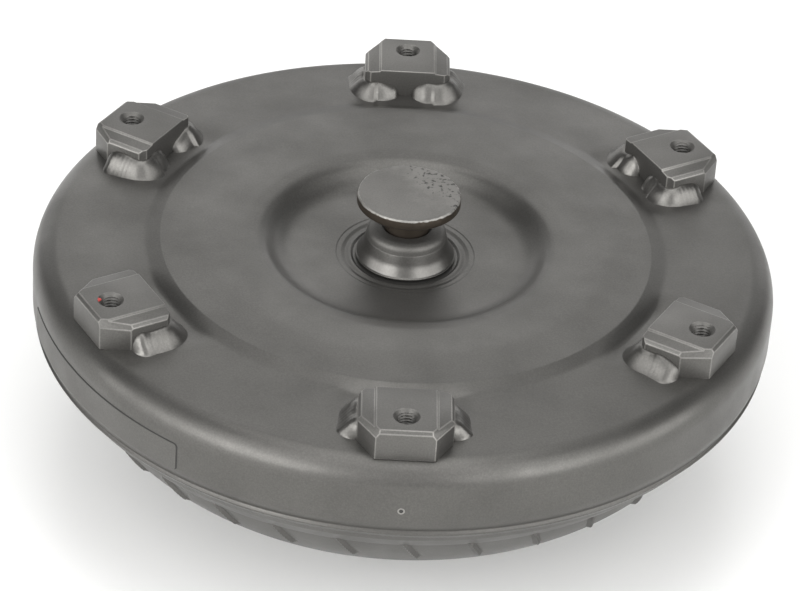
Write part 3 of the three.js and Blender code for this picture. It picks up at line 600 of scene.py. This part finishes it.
def weld_bead(name, degrees, side, seed):
    """Fillet weld from the middle of a lug's inner end, round its corner and along its side to the knee."""
    chance = random.Random(seed)
    base = PAD_Z - 0.4
    start_y = chance.uniform(1.5, 4.5)
    end_x = BOLT_R + chance.uniform(-2.0, 0.6)
    inset = 0.5
    corner = 3.0
    in_x, side_y = LUG_IN_X + inset, LUG_HALF_W - inset
    # The route runs on the lug's wall: points with the outward direction of the wall there.
    route = []
    steps = 14
    for k in range(steps):
        y = start_y + (side_y - corner - start_y) * k / steps
        route.append((in_x, y, -1.0, 0.0))
    for k in range(11):
        a = math.radians(180 - 9 * k)
        route.append((in_x + corner + corner * math.cos(a), side_y - corner + corner * math.sin(a),
                      math.cos(a), math.sin(a)))
    for k in range(1, 31):
        x = in_x + corner + (end_x - in_x - corner) * k / 30
        route.append((x, side_y, 0.0, 1.0))
    lengths = [0.0]
    for (x0, y0, _, _), (x1, y1, _, _) in zip(route, route[1:]):
        lengths.append(lengths[-1] + math.hypot(x1 - x0, y1 - y0))
    total = lengths[-1]
    leg = chance.uniform(7.2, 8.4)
    rise = chance.uniform(5.6, 6.6)
    across = 16
    turn = math.radians(degrees)
    verts, faces = [], []
    offset = Vector((chance.uniform(0, 50), chance.uniform(0, 50), 0))
    for (x, y, nx, ny), s in zip(route, lengths):
        begin = min(1, s / 7.0)
        finish = min(1, (total - s) / 5.0)
        swell = math.sqrt(max(0.02, 1 - (1 - begin) ** 2)) * math.sqrt(max(0.02, 1 - (1 - finish) ** 2))
        lump = noise.noise(Vector((s * 0.11, 0, 0)) + offset)
        wide = leg * swell * (1 + 0.16 * lump) * (0.8 if s < 9 else 1)
        high = rise * swell * (1 + 0.25 * noise.noise(Vector((s * 0.13, 5, 0)) + offset))
        for v in range(across + 1):
            t = v / across
            out = wide * t ** 0.9
            up = high * (0.5 + 0.5 * math.cos(math.pi * t)) * (1 - 0.25 * t)
            up += 0.12 * high * math.sin(math.pi * t)
            ripple = 0.03 * math.sin(TAU * (s / 1.7 - 0.5 * math.sin(math.pi * t)))
            rough = 0.22 * noise.noise(Vector((s * 0.16, t * 1.5, 3)) + offset)
            edge = math.sin(math.pi * min(1, t * 1.05)) if t < 0.95 else 0
            push = (ripple + rough) * edge * swell
            verts.append((x + nx * (out + 0.6 * push), y + ny * (out + 0.6 * push), base + up + push))
        verts.append((x, y, base))
    width = across + 2
    for i in range(len(route) - 1):
        for v in range(width):
            v2 = (v + 1) % width
            faces.append((i * width + v, i * width + v2, (i + 1) * width + v2, (i + 1) * width + v))
    faces.append(tuple(reversed(range(width))))
    last = (len(route) - 1) * width
    faces.append(tuple(range(last, last + width)))
    if side > 0:
        faces = [tuple(reversed(f)) for f in faces]
    c, s = math.cos(turn), math.sin(turn)
    placed = [((x * c - side * y * s) * MM, (x * s + side * y * c) * MM, z * MM) for x, y, z in verts]
    bead = make_object(name, placed, faces, weld_metal, 60)
    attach(bead, "housing")
    return bead


first_lug = lug_mesh()
for i, degrees in enumerate(LUG_ANGLES, 1):
    mesh = first_lug.data.copy()
    mesh.transform(Matrix.Rotation(math.radians(degrees), 4, "Z"))
    lug = bpy.data.objects.new(f"drive_lug_forging_{i}", mesh)
    bpy.context.scene.collection.objects.link(lug)
    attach(lug, "housing")
    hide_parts(f"drive_lug_{i}")
    weld_bead(f"lug_weld_{i}_left", degrees, 1, 10 + i)
    weld_bead(f"lug_weld_{i}_right", degrees, -1, 30 + i)
bpy.data.objects.remove(first_lug)

# A dab of red paint on the countersink of one lug.
DAB_X, DAB_Y = -110.4, -61.0
dab_rows, dab_around = 6, 20
dab_verts = []
for i in range(1, dab_rows):
    tilt = math.pi * i / dab_rows
    for j in range(dab_around):
        a = TAU * j / dab_around
        wobble = 1 + 0.15 * math.sin(3 * a + 1)
        flat = wobble * math.sin(tilt)
        dab_verts.append((DAB_X + 0.9 * flat * math.cos(a), DAB_Y + 1.3 * flat * math.sin(a),
                          LUG_Z - 0.4 + 0.35 * math.cos(tilt)))
dab_faces = [(i * dab_around + j, (i + 1) * dab_around + j, (i + 1) * dab_around + (j + 1) % dab_around,
              i * dab_around + (j + 1) % dab_around) for i in range(dab_rows - 2) for j in range(dab_around)]
dab_faces.append(tuple(range(dab_around)))
dab_faces.append(tuple(reversed(range((dab_rows - 2) * dab_around, (dab_rows - 1) * dab_around))))
dab = make_object("paint_dab", [(x * MM, y * MM, z * MM) for x, y, z in dab_verts], dab_faces, red_paint, 80)
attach(dab, "housing")

# ---- Closure weld ----

WELD_TOP_Z = top("closure_weld")
WELD_LOW_Z = low("closure_weld")
# A fillet weld whose face carries on the cone of the impeller shell.
weld_outline = rounded(
    [(SHELL_R + 0.2, WELD_LOW_Z), (SHELL_R + 0.2, WELD_TOP_Z - 0.2), (WELD_R - 1.9, WELD_TOP_Z - 0.2, 0.3),
     (WELD_R - 1.0, WELD_TOP_Z - 1.2, 0.5), (134.0, 68.0, 8), (SHELL_R + 0.7, WELD_LOW_Z + 0.3, 0.5),
     (SHELL_R + 0.2, WELD_LOW_Z)], 5)


def ripple_weld(radius, height, angle):
    """Fine ripples of the weld pool, and a slight wander of the bead."""
    outer = smooth_step(radius, SHELL_R + 0.5, SHELL_R + 2) * smooth_step(WELD_TOP_Z - height, 0.1, 1.5)
    ripple = 0.035 * np.sin(520 * angle + 0.6 * (height - WELD_LOW_Z) ** 2)
    drift = 0.12 * np.sin(5 * angle + 0.4) + 0.08 * np.sin(13 * angle + 2)
    push = outer * (ripple + drift - 0.15)
    return radius + 0.8 * push, height - 0.6 * push


weld = revolve("closure_weld_bead", dense(weld_outline, 0.8), 2080, housing_steel, ripple_weld, 60)
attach(weld, "housing")
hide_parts("closure_weld")

# ---- Impeller shell with its pressed ribs ----

SHELL_WALL = 3.3
WIDE_ARC_R = 58.7
WIDE_CENTRE = (71.9, 82.7)
TIGHT_ARC_R = 22
ARCS_MEET_DEG = -50
TOE_Z = 58.3
RIB_COUNT = 33
RIB_FIRST_DEG = 271.0
RIB_LENGTH = 15.5
RIB_LEAN_DEG = 3.0
RIB_HALF_W = 1.1
RIB_HEIGHT = 1.15

meet = math.radians(ARCS_MEET_DEG)
tight_centre = (WIDE_CENTRE[0] + (WIDE_ARC_R - TIGHT_ARC_R) * math.cos(meet),
                WIDE_CENTRE[1] + (WIDE_ARC_R - TIGHT_ARC_R) * math.sin(meet))
wide_outer = arc(*WIDE_CENTRE, WIDE_ARC_R - 0.5, -24.8, ARCS_MEET_DEG, 34)
tight_outer = arc(*tight_centre, TIGHT_ARC_R - 0.5, ARCS_MEET_DEG, -90, 10)
toe = (wide_outer[0][0] + 1.2, TOE_Z)
shell_outside = rounded([(SHELL_R, SHELL_TOP_Z - 0.6), (SHELL_R, WELD_LOW_Z + 1.6, 1.5), toe], 4)
shell_outside += [(toe[0] - 0.3, TOE_Z - 0.35)] + wide_outer + tight_outer[1:]
shell_outside += rounded(
    [(tight_centre[0] - 1, tight_outer[-1][1]), (88, 33.6, 30), (62, 41.9, 20), (43, 42.4)], 4)
shell_inside = rounded([(43, 46.4), (62, 45.6, 20), (88, 37.0, 20)], 4)
shell_inside += arc(*tight_centre, TIGHT_ARC_R - SHELL_WALL, -90, ARCS_MEET_DEG, 4)
shell_inside += arc(*WIDE_CENTRE, WIDE_ARC_R - SHELL_WALL, ARCS_MEET_DEG, -28, 4)[1:]
shell_inside += [(SHELL_R - SHELL_WALL, 67), (SHELL_R - SHELL_WALL, SHELL_TOP_Z - 0.6),
                 (SHELL_R - SHELL_WALL + 0.6, SHELL_TOP_Z), (SHELL_R - 0.6, SHELL_TOP_Z)]


def raise_ribs(radius, height, angle):
    """Ribs where the tabs of the vanes are pressed into the shell, slanted and blunt at their upper end."""
    below = np.arctan2(WIDE_CENTRE[1] - height, radius - WIDE_CENTRE[0])
    outward = np.hypot(radius - WIDE_CENTRE[0], height - WIDE_CENTRE[1]) > WIDE_ARC_R - 1.2
    along = (below - math.radians(24.8)) * WIDE_ARC_R
    off = angle - np.radians(RIB_FIRST_DEG + RIB_LEAN_DEG / RIB_LENGTH * along)
    pitch = TAU / RIB_COUNT
    across = ((off + pitch / 2) % pitch - pitch / 2) * radius
    ends = smooth_step(along, 0.15, 0.9) * (1 - smooth_step(along, RIB_LENGTH - 3, RIB_LENGTH))
    crest = 1 - smooth_step(np.abs(across), 0.35 * RIB_HALF_W, 1.15 * RIB_HALF_W)
    beside = np.exp(-(((np.abs(across) - 1.45 * RIB_HALF_W) / 0.5) ** 2))
    push = (RIB_HEIGHT * crest - 0.18 * beside) * ends * outward
    pocket = 0.45 * np.exp(-((across / 1.2) ** 2) - ((along - 0.1) / 0.5) ** 2) * (along > -0.6) * outward
    push = push - pocket
    return radius + push * np.cos(below), height - push * np.sin(below)


shell = revolve("impeller_shell_embossed", shell_outside + shell_inside, RIB_COUNT * 34, housing_steel,
                raise_ribs, 40)
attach(shell, "housing")
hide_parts("impeller_shell")

# ---- Pump hub ----

hub_outline = rounded(
    [(HUB_BORE_R, 46), (HUB_BORE_R, 1, 0.3), (HUB_BORE_R + 0.9, 0, 0.2), (HUB_R - 0.9, 0, 0.2),
     (HUB_R, 1.0, 0.4), (HUB_R, 36.5, 4), (27.5, 41.2, 2), (42.3, 41.8, 0.6), (42.3, 47, 0.5),
     (HUB_BORE_R + 0.6, 47, 0.2)], 6)
hub = revolve("pump_hub_turned", hub_outline, 192, hub_steel, None, 35)
notch = bpy.data.meshes.new("notch")
bm = bmesh.new()
bmesh.ops.create_cube(bm, size=1)
bmesh.ops.scale(bm, vec=Vector((60, 9, 22)) * MM, verts=bm.verts)
upright = [e for e in bm.edges if abs(e.verts[0].co.z - e.verts[1].co.z) < 1e-6 and
           abs(e.verts[0].co.y - e.verts[1].co.y) < 1e-6]
bmesh.ops.bevel(bm, geom=upright, offset=1.2 * MM, segments=5, affect="EDGES")
bm.to_mesh(notch)
bm.free()
cut(hub, finish_object("notch", notch, hub_steel))
hub.data.set_sharp_from_angle(angle=math.radians(35))
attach(hub, "housing")
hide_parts("impeller_hub")

hub_weld_outline = [
    (38.6, 41.9), (47.2, 42.4), (46.6, 41.3), (45, 40.3), (43, 39.7), (41, 39.8), (39.4, 40.7),
]


def ripple_hub_weld(radius, height, angle):
    lower = 1 - smooth_step(height, 40.6, 41.6)
    return radius, height + lower * (0.08 * np.sin(150 * angle + (radius - 43) ** 2 * 0.25) + 0.1)


hub_weld = revolve("hub_weld_bead", hub_weld_outline, 900, weld_metal, ripple_hub_weld, 60)
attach(hub_weld, "housing")
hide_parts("hub_weld")

# ---- Damper springs ----
# Each spring is squeezed between its window in the damper plates, at its start, and the driven plate.

SPRING_COUNT = 6
SPRING_HALF_LENGTH = 17
SPRING_WIRE_R = 1.15
COIL_TURNS = 6.5
COIL_STEPS = 156
WIRE_SIDES = 10


def coil_spring(name):
    """Coil along +Y with its end turns closed."""
    coil_r = (top("damper_spring_1") - low("damper_spring_1")) / 2 - SPRING_WIRE_R
    reach_y = SPRING_HALF_LENGTH - SPRING_WIRE_R
    path = []
    for k in range(COIL_STEPS + 1):
        t = 2 * k / COIL_STEPS - 1
        a = math.pi * COIL_TURNS * t
        y = reach_y * math.copysign(1 - (1 - abs(t)) ** 1.25, t)
        path.append(Vector((coil_r * math.cos(a), y, coil_r * math.sin(a))))
    verts, faces = [], []
    for k, point in enumerate(path):
        along = (path[min(k + 1, COIL_STEPS)] - path[max(k - 1, 0)]).normalized()
        out = Vector((point.x, 0, point.z)).normalized()
        side = along.cross(out).normalized()
        out = side.cross(along)
        for j in range(WIRE_SIDES):
            b = TAU * j / WIRE_SIDES
            verts.append((point + (out * math.cos(b) + side * math.sin(b)) * SPRING_WIRE_R) * MM)
    for k in range(COIL_STEPS):
        for j in range(WIRE_SIDES):
            j2 = (j + 1) % WIRE_SIDES
            a, b = k * WIRE_SIDES + j, k * WIRE_SIDES + j2
            faces.append((a, b, b + WIRE_SIDES, a + WIRE_SIDES))
    faces.append(tuple(reversed(range(WIRE_SIDES))))
    faces.append(tuple(range(COIL_STEPS * WIRE_SIDES, (COIL_STEPS + 1) * WIRE_SIDES)))
    return make_object(name, verts, faces, spring_steel, 50)


for i in range(1, SPRING_COUNT + 1):
    low_corner, high_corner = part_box(f"damper_spring_{i}")
    centre = (low_corner + high_corner) / 2
    spring_angle = math.radians(360 / SPRING_COUNT * (i - 1))
    spring = coil_spring(f"damper_coil_{i}")
    spring.data.transform(Matrix.Translation(centre) @ Matrix.Rotation(spring_angle, 4, "Z"))
    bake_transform(spring)
    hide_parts(f"damper_spring_{i}")

# ---- Blank label on the skirt ----


def skirt_sheet(name, from_deg, to_deg, low_z, high_z, inner, outer, corner, material):
    """Thin sheet wrapped on the skirt, with round corners."""
    outline = []
    length = math.radians(to_deg - from_deg) * COVER_R
    for cx, cz, start in ((length - corner, high_z - corner, 0), (corner, high_z - corner, 90),
                          (corner, low_z + corner, 180), (length - corner, low_z + corner, 270)):
        outline += [(cx + corner * math.cos(math.radians(start + 15 * k)),
                     cz + corner * math.sin(math.radians(start + 15 * k))) for k in range(7)]
    filled = []
    for (s0, z0), (s1, z1) in zip(outline, outline[1:] + outline[:1]):
        parts = max(1, math.ceil(math.hypot(s1 - s0, z1 - z0) / 1.5))
        filled += [(s0 + (s1 - s0) * k / parts, z0 + (z1 - z0) * k / parts) for k in range(parts)]
    bm = bmesh.new()
    flat = [bm.verts.new((s, z, 0)) for s, z in filled]
    bm.faces.new(flat)
    for cut_s in np.arange(2.0, length, 2.0):
        geometry = bm.verts[:] + bm.edges[:] + bm.faces[:]
        bmesh.ops.bisect_plane(bm, geom=geometry, dist=1e-6, plane_co=(cut_s, 0, 0), plane_no=(1, 0, 0))
    sheet = bmesh.ops.extrude_face_region(bm, geom=bm.faces[:])
    for v in bm.verts:
        v.co.z = inner
    for item in sheet["geom"]:
        if isinstance(item, bmesh.types.BMVert):
            item.co.z = outer
    for v in bm.verts:
        a = math.radians(from_deg) + v.co.x / COVER_R
        r, z = v.co.z, v.co.y
        v.co = Vector((r * math.cos(a), r * math.sin(a), z)) * MM
    bmesh.ops.recalc_face_normals(bm, faces=bm.faces)
    mesh = bpy.data.meshes.new(name)
    bm.to_mesh(mesh)
    bm.free()
    return finish_object(name, mesh, material, 40)


LABEL_LOW_Z = low("data_label")
LABEL_HIGH_Z = top("data_label")
label = skirt_sheet("label_sheet", 194.2, 235, LABEL_LOW_Z, LABEL_HIGH_Z, COVER_R - 0.2, COVER_R + 0.12, 1.2,
                    label_film)
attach(label, "housing")
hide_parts("data_label")
# A dark border sheet round the label: painted shade of the gap at its edge.
edge = skirt_sheet("label_edge_shade", 193.9, 235.25, LABEL_LOW_Z, LABEL_HIGH_Z + 0.5, COVER_R - 0.25,
                   COVER_R + 0.02, 1.5, painted_shade_paint)
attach(edge, "housing")

# ---- Floor, light and camera ----

floor_mat, _, floor_shader, _ = mat_nodes("pale floor")
floor_shader.inputs["Base Color"].default_value = (0.9, 0.9, 0.89, 1)
floor_shader.inputs["Roughness"].default_value = 0.9
floor_mesh = bpy.data.meshes.new("floor")
half = 6.0
floor_corners = [(-half, -half, 0), (half, -half, 0), (half, half, 0), (-half, half, 0)]
floor_mesh.from_pydata(floor_corners, [], [(0, 1, 2, 3)])
floor_mesh.materials.append(floor_mat)
floor = bpy.data.objects.new("floor", floor_mesh)
floor.location.z = -0.0005
bpy.context.scene.collection.objects.link(floor)

world = bpy.data.worlds.new("studio")
bpy.context.scene.world = world
world.use_nodes = True
sky = world.node_tree
# The studio is white all round but for a dark screen on each side, somewhat behind the object.
sky_coords = sky.nodes.new("ShaderNodeTexCoord")
sky_parts = sky.nodes.new("ShaderNodeSeparateXYZ")
sky.links.new(sky_coords.outputs["Generated"], sky_parts.inputs[0])
SCREEN_TOWARD = (0.70, 0.42, 0.575)
aside = add_math(sky, "ABSOLUTE", sky_parts.outputs[0], 0.0)
along_x, along_y, along_z = (
    add_math(sky, "MULTIPLY", part, amount)
    for part, amount in zip((aside, sky_parts.outputs[1], sky_parts.outputs[2]), SCREEN_TOWARD))
toward_screen = add_math(sky, "ADD", along_x, add_math(sky, "ADD", along_y, along_z))
sky_colour = add_ramp(sky, toward_screen, [(0.70, (1, 1, 1)), (0.92, (0.03, 0.03, 0.03))])
sky.links.new(sky_colour, sky.nodes["Background"].inputs["Color"])
sky.nodes["Background"].inputs["Strength"].default_value = 0.77


def soft_light(name, azimuth, elevation, distance, size, power):
    """Area light aimed at the object, placed by its direction: azimuth 0 is in front, at -Y."""
    a, e = math.radians(azimuth), math.radians(elevation)
    away = Vector((math.sin(a) * math.cos(e), -math.cos(a) * math.cos(e), math.sin(e)))
    data = bpy.data.lights.new(name, "AREA")
    data.shape = "RECTANGLE"
    data.size, data.size_y = size
    data.energy = power
    light = bpy.data.objects.new(name, data)
    light.location = Vector((0, 0, 0.09)) + away * distance
    light.rotation_euler = away.to_track_quat("Z", "Y").to_euler()
    bpy.context.scene.collection.objects.link(light)


for azimuth, elevation, power in (
        (-75, 18, 7), (-38, 22, 12), (38, 22, 8), (75, 18, 6.5), (-45, 50, 4), (45, 50, 4), (-152, 14, 2.2),
        (152, 14, 2.2), (180, 36, 2.4), (180, 75, 4.5), (0, 80, 4.5)):
    soft_light(f"box {azimuth} {elevation}", azimuth, elevation, 1.6, (0.9, 0.8), power)

CAMERA_LENS = 169.5
CAMERA_DISTANCE = 1.3581
CAMERA_ELEVATION = math.radians(34.578)
CAMERA_AZIMUTH = math.radians(-2.105)
CAMERA_ROLL = math.radians(4.043)
target = Vector((-2.614, -49.548, LUG_Z)) * MM
back = Vector((math.sin(CAMERA_AZIMUTH) * math.cos(CAMERA_ELEVATION),
               -math.cos(CAMERA_AZIMUTH) * math.cos(CAMERA_ELEVATION), math.sin(CAMERA_ELEVATION)))
camera_data = bpy.data.cameras.new("camera")
camera_data.lens = CAMERA_LENS
camera_data.sensor_width = 36
camera_data.clip_start = 0.05
camera = bpy.data.objects.new("camera", camera_data)
aim = back.to_track_quat("Z", "Y").to_matrix().to_4x4()
place = Matrix.Translation(target + back * CAMERA_DISTANCE)
camera.matrix_world = place @ aim @ Matrix.Rotation(CAMERA_ROLL, 4, "Z")
bpy.context.scene.collection.objects.link(camera)
bpy.context.scene.camera = camera
bpy.context.scene.view_settings.view_transform = "Standard"

# ---- Carried-over nodes ----

SLOT_MATERIALS = {
    "housing_steel": housing_steel, "forged_steel": lug_steel, "weld_metal": weld_metal,
    "machined_steel": hub_steel, "label_film": label_film, "pressed_steel": pressed_steel,
    "fastener_steel": rivet_steel, "spring_steel": spring_steel, "friction_paper": friction_paper,
    "seal_polymer": seal_polymer, "hardened_steel": hardened_steel, "cast_aluminium": cast_aluminium,
}
for part in frame["record"]["subparts"]:
    node = frame["nodes"][part["node"]]
    node.data.materials.clear()
    node.data.materials.append(SLOT_MATERIALS[part["material_slot"]])
